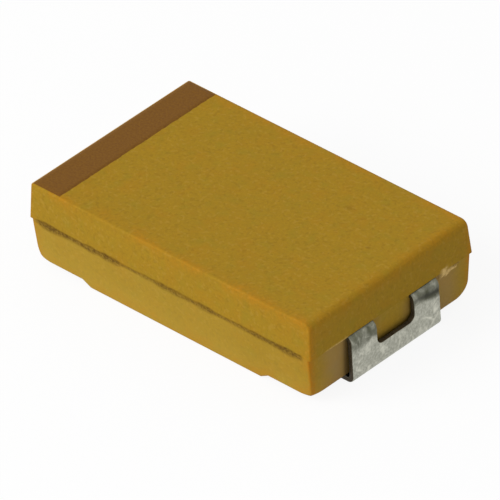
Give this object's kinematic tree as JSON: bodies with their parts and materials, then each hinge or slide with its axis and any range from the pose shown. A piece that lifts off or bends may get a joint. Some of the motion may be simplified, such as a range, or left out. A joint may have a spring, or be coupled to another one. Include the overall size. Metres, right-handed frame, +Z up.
{
  "type": "tantalum capacitor",
  "caption": "Low moulded chip capacitor with a drafted epoxy case, a polarity band at one end and notched solder leads folded under both ends.",
  "frame": {"origin": "under the middle of the part, level with the undersides of the two solder feet", "axes": "+X along the length towards the cathode lead, with the polarity band at -X, +Y across the width, +Z up from the board"},
  "size_m": [0.0072, 0.0044, 0.0018],
  "materials": {
    "epoxy": "matte, fine speckle, transfer-moulded",
    "band_ink": "matte printed film",
    "tinned_lead": "matte tin plating over nickel-iron strip",
    "tantalum": "sintered and drawn tantalum",
    "fluoropolymer": "smooth",
    "dioxide": "dull, granular",
    "carbon": "dull",
    "silver": "silver-filled coating, satin"
  },
  "bodies": {
    "root": {"moulded_case": "epoxy", "polarity_band": "band_ink", "cathode_lead": "tinned_lead", "anode_lead": "tinned_lead", "tantalum_pellet": "tantalum", "anode_wire": "tantalum", "wire_washer": "fluoropolymer", "manganese_dioxide_layer": "dioxide", "carbon_layer": "carbon", "silver_layer": "silver", "silver_adhesive": "silver"}
  },
  "joints": []
}
